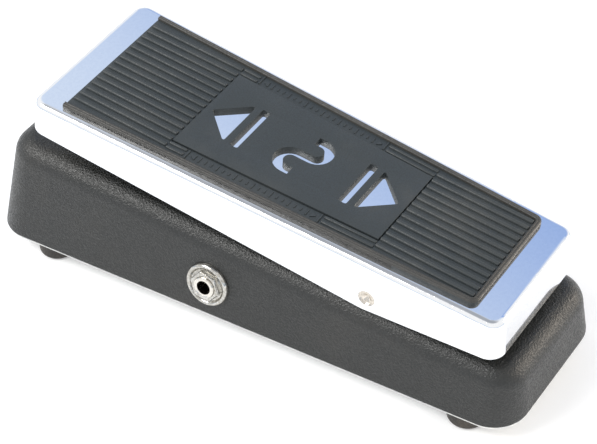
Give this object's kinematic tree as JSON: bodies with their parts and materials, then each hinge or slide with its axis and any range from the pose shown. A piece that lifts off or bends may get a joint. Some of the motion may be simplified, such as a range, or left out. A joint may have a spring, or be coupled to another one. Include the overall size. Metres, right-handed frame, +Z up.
{
  "type": "effects pedal",
  "caption": "Foot-operated tone sweep pedal: wedge-shaped cast housing in black wrinkle paint, with a chrome rocking treadle that carries a ribbed rubber mat, and plug sockets on the sides.",
  "frame": {"origin": "on the floor under the middle of the housing, at the feet's lower faces", "axes": "+Z up, +Y towards the toe end, +X to the player's right"},
  "size_m": [0.1004, 0.254, 0.0852],
  "materials": {
    "wrinkle_paint": "fine wrinkle-finish black paint",
    "plate_steel": "bright zinc-plated sheet",
    "foot_rubber": "moulded black rubber",
    "zinc_steel": "zinc plated",
    "bush_bronze": "sintered bronze",
    "spring_steel": "tempered strip",
    "can_steel": "plated can",
    "nickel": "bright nickel plate",
    "switch_case": "moulded plastic",
    "tag_brass": "tinned brass",
    "washer_chrome": "bright chrome",
    "board": "fibre board with green mask",
    "component_black": "moulded epoxy",
    "capacitor_film": "dipped box",
    "resistor_body": "lacquered body",
    "battery_jacket": "lacquered steel jacket",
    "foam": "soft foam",
    "wire_red": "insulated wire",
    "wire_grey": "insulated wire",
    "treadle_chrome": "polished chrome plate",
    "mat_rubber": "ribbed moulded rubber",
    "pin_steel": "ground steel",
    "nylon": "natural nylon"
  },
  "bodies": {
    "housing_body": {"housing": "wrinkle_paint", "bottom_plate": "plate_steel", "feet": "foot_rubber", "foot_screws": "zinc_steel", "heel_pads": "foot_rubber", "hinge_bushes": "bush_bronze", "rack_guide": "spring_steel", "pot_case": "can_steel", "pot_nut": "nickel", "pot_bracket": "zinc_steel", "bracket_screws": "zinc_steel", "switch_case": "switch_case", "switch_tags": "tag_brass", "switch_nuts": "nickel", "switch_washer": "nickel", "output_jack": "nickel", "output_jack_springs": "spring_steel", "output_jack_washer": "washer_chrome", "output_jack_nut": "nickel", "input_jack": "nickel", "input_jack_springs": "spring_steel", "input_jack_washer": "washer_chrome", "input_jack_nut": "nickel", "circuit_board": "board", "board_screws": "zinc_steel", "inductor": "component_black", "transistors": "component_black", "film_capacitors": "capacitor_film", "electrolytic_capacitors": "component_black", "resistors": "resistor_body", "battery": "battery_jacket", "battery_terminals": "nickel", "snap_connector": "component_black", "battery_pad": "foam", "battery_clip": "spring_steel", "clip_rivet": "zinc_steel", "battery_leads": "wire_red", "pot_wires": "wire_grey", "switch_wires": "wire_grey"},
    "treadle_body": {"treadle": "treadle_chrome", "tread_mat": "mat_rubber", "toe_pad": "foot_rubber", "hinge_pin": "pin_steel", "friction_washers": "nylon", "rack_pin": "zinc_steel"},
    "rack_body": {"rack": "nylon"},
    "pinion_body": {"pinion": "nylon", "pinion_shaft": "pin_steel"},
    "plunger_body": {"switch_plunger": "nickel"}
  },
  "joints": [
    {"name": "treadle_rock", "type": "hinge", "parent": "housing_body", "child": "treadle_body", "pos_m": [0, -0.0593, 0.0498], "axis": [1, 0, 0], "range_deg": [-3.5, 6.5]},
    {"name": "rack_slide", "type": "slide", "parent": "housing_body", "child": "rack_body", "axis": [0, 0, 1], "range_m": [-0.0027, 0.005]},
    {"name": "pinion_spin", "type": "hinge", "parent": "housing_body", "child": "pinion_body", "pos_m": [0, -0.01, 0.025], "axis": [1, 0, 0], "range_deg": [-58, 32]},
    {"name": "plunger_press", "type": "slide", "parent": "housing_body", "child": "plunger_body", "axis": [0, 0.0861, -0.9963], "range_m": [0, 0.0025], "stiffness_N_per_m": 2000, "springref_m": -0.001}
  ],
  "couplings": [
    {"joint": "rack_slide", "follows": "treadle_rock", "m_per_rad": 0.042},
    {"joint": "pinion_spin", "follows": "treadle_rock", "ratio": -8.75}
  ]
}
